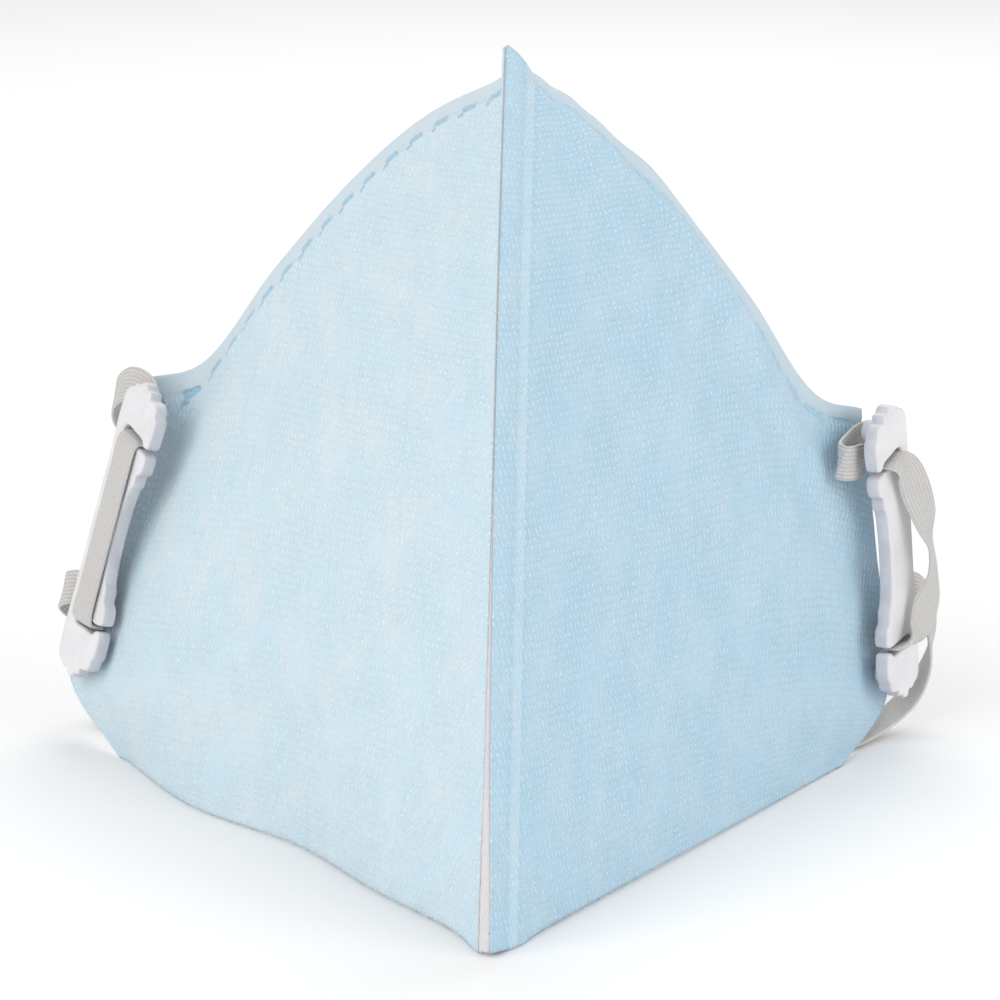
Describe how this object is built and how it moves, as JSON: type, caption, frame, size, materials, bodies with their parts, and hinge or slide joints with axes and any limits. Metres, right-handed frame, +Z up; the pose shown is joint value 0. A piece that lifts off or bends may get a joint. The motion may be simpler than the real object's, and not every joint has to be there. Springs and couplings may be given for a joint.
{
  "type": "folding respirator mask",
  "caption": "Folding respirator mask with a raised vertical centre seam, open at the back, side buckles and elastic head loops.",
  "frame": {"origin": "middle of the mask's bounding box on the surface it stands on, the cords left out", "axes": "+X to the right seen from the front, +Y back into the hollow, away from the seam; +Z up"},
  "size_m": [0.1653, 0.1433, 0.1327],
  "materials": {
    "cloth": "pale blue nonwoven with a fine embossed pattern",
    "core": "white fibre wadding at the cut edge of the seam",
    "plastic": "white moulded plastic",
    "elastic": "grey ribbed elastic"
  },
  "bodies": {
    "root": {"left_panel": "cloth", "right_panel": "cloth", "seam_core": "core", "left_buckle": "plastic", "right_buckle": "plastic", "left_lacing": "elastic", "right_lacing": "elastic", "upper_strap": "elastic", "lower_strap": "elastic"}
  },
  "joints": []
}
